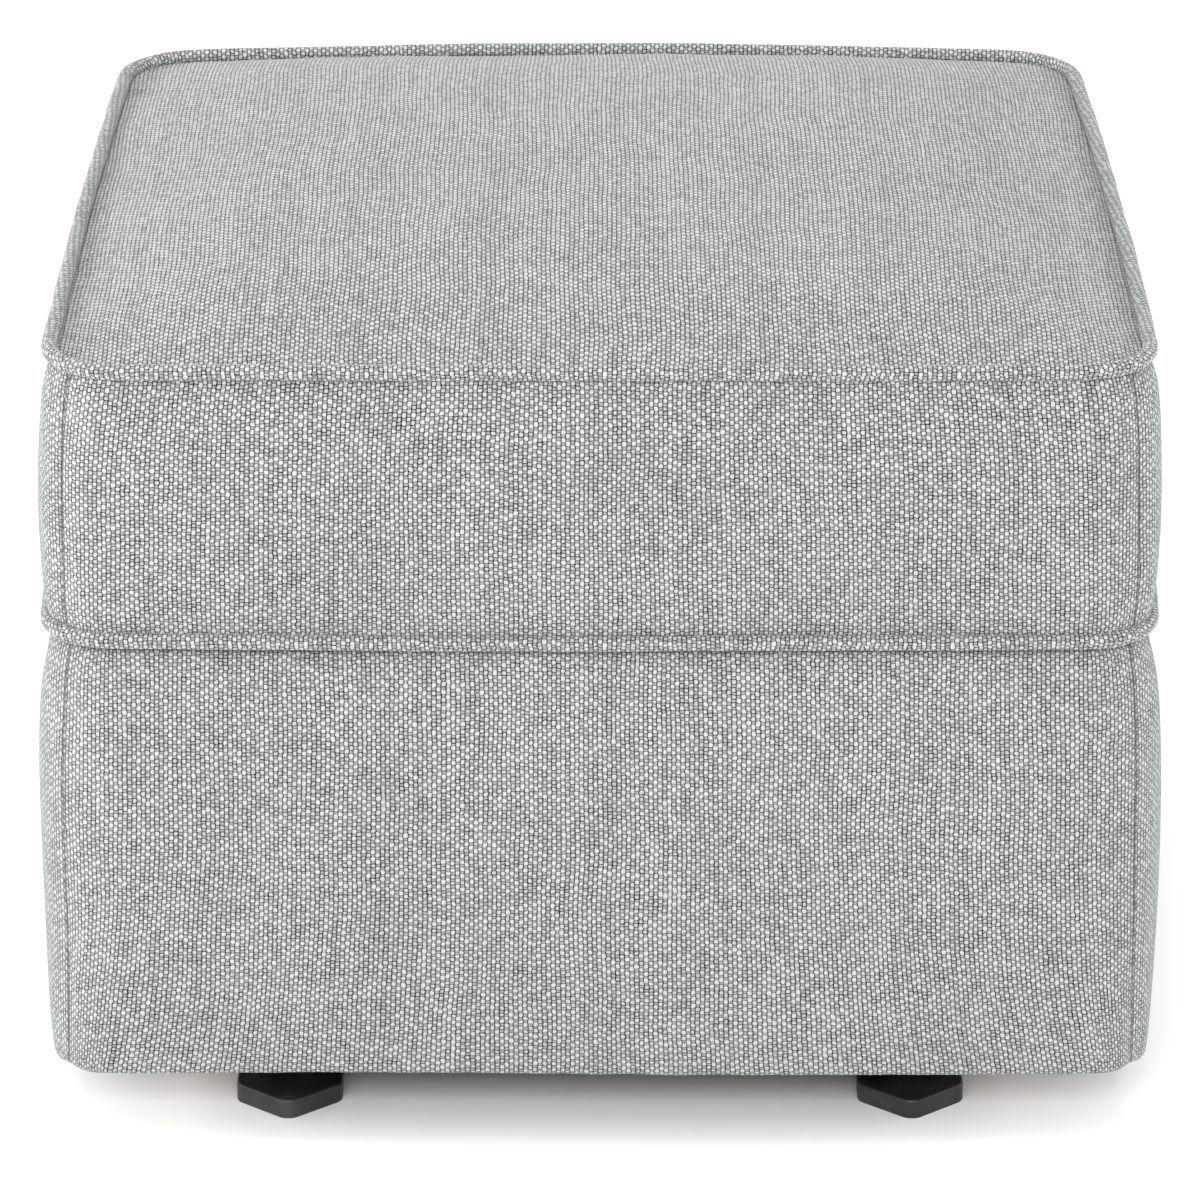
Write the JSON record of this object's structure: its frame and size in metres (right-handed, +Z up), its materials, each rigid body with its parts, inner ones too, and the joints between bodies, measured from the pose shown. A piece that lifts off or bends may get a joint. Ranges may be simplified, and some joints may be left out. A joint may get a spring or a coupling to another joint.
{
  "type": "glider ottoman",
  "caption": "Upholstered box-form glide ottoman: welted, crowned cushion on a padded box that swings fore and aft on links from a low steel base with pad feet.",
  "frame": {"origin": "on the floor, under the middle of the ottoman", "axes": "+X to the right seen from the front, +Y to the back, +Z up; the front faces -Y"},
  "size_m": [0.576, 0.526, 0.456],
  "materials": {
    "foot_plastic": "matte",
    "base_steel": "satin",
    "rail_steel": "satin",
    "link_steel": "satin",
    "zinc_fasteners": "satin",
    "bush_nylon": "satin",
    "stop_rubber": "matte",
    "softwood": "matte",
    "plywood": "matte",
    "pad_foam": "matte",
    "cushion_foam": "matte",
    "fibre_wrap": "matte",
    "lining_cloth": "matte",
    "upholstery_cloth": "matte",
    "welt_cloth": "matte"
  },
  "bodies": {
    "glide_base": {"foot_pad_front_left": "foot_plastic", "foot_pad_front_right": "foot_plastic", "foot_pad_rear_left": "foot_plastic", "foot_pad_rear_right": "foot_plastic", "upright_front_left": "base_steel", "upright_front_right": "base_steel", "upright_rear_left": "base_steel", "upright_rear_right": "base_steel", "runner_left": "base_steel", "runner_right": "base_steel", "cross_tube_front": "base_steel", "cross_tube_rear": "base_steel", "runner_end_plugs": "foot_plastic", "foot_pad_screws": "zinc_fasteners", "upright_screws": "zinc_fasteners", "pivot_spacers": "zinc_fasteners", "upper_pivot_bolts": "zinc_fasteners", "upper_pivot_nuts": "zinc_fasteners"},
    "swing_link_front_left": {"link_front_left": "link_steel", "link_bushes_front_left": "bush_nylon"},
    "swing_link_front_right": {"link_front_right": "link_steel", "link_bushes_front_right": "bush_nylon"},
    "swing_link_rear_left": {"link_rear_left": "link_steel", "link_bushes_rear_left": "bush_nylon"},
    "swing_link_rear_right": {"link_rear_right": "link_steel", "link_bushes_rear_right": "bush_nylon"},
    "seat_box": {"lower_pivot_bolts": "zinc_fasteners", "lower_pivot_nuts": "zinc_fasteners", "glide_rail_screws": "zinc_fasteners", "glide_rail_left": "rail_steel", "glide_rail_right": "rail_steel", "stretcher_left": "softwood", "stretcher_right": "softwood", "corner_blocks": "softwood", "deck_cleats": "softwood", "box_board_left": "plywood", "box_board_right": "plywood", "box_board_front": "plywood", "box_board_back": "plywood", "deck_board": "plywood", "stop_bumpers": "stop_rubber", "base_pad_front": "pad_foam", "base_cover_front": "upholstery_cloth", "cushion_boxing_front": "upholstery_cloth", "base_pad_back": "pad_foam", "base_cover_back": "upholstery_cloth", "cushion_boxing_back": "upholstery_cloth", "base_pad_left": "pad_foam", "base_cover_left": "upholstery_cloth", "cushion_boxing_left": "upholstery_cloth", "base_pad_right": "pad_foam", "base_cover_right": "upholstery_cloth", "cushion_boxing_right": "upholstery_cloth", "cushion_base_cloth": "lining_cloth", "cushion_foam": "cushion_foam", "cushion_fibre": "fibre_wrap", "cushion_top_panel": "upholstery_cloth", "welt_lower": "welt_cloth", "welt_upper": "welt_cloth"}
  },
  "joints": [
    {"name": "swing_front_left", "type": "hinge", "parent": "glide_base", "child": "swing_link_front_left", "pos_m": [-0.1665, -0.115, 0.206], "axis": [1, 0, 0], "range_deg": [-19, 19]},
    {"name": "box_on_link", "type": "hinge", "parent": "swing_link_front_left", "child": "seat_box", "pos_m": [-0.1665, -0.115, 0.054], "axis": [1, 0, 0], "range_deg": [-19, 19]},
    {"name": "swing_front_right", "type": "hinge", "parent": "glide_base", "child": "swing_link_front_right", "pos_m": [0.1665, -0.115, 0.206], "axis": [1, 0, 0], "range_deg": [-19, 19]},
    {"name": "swing_rear_left", "type": "hinge", "parent": "glide_base", "child": "swing_link_rear_left", "pos_m": [-0.1665, 0.115, 0.206], "axis": [1, 0, 0], "range_deg": [-19, 19]},
    {"name": "swing_rear_right", "type": "hinge", "parent": "glide_base", "child": "swing_link_rear_right", "pos_m": [0.1665, 0.115, 0.206], "axis": [1, 0, 0], "range_deg": [-19, 19]}
  ],
  "couplings": [
    {"joint": "box_on_link", "follows": "swing_front_left", "ratio": -1},
    {"joint": "swing_front_right", "follows": "swing_front_left", "ratio": 1},
    {"joint": "swing_rear_left", "follows": "swing_front_left", "ratio": 1},
    {"joint": "swing_rear_right", "follows": "swing_front_left", "ratio": 1}
  ]
}
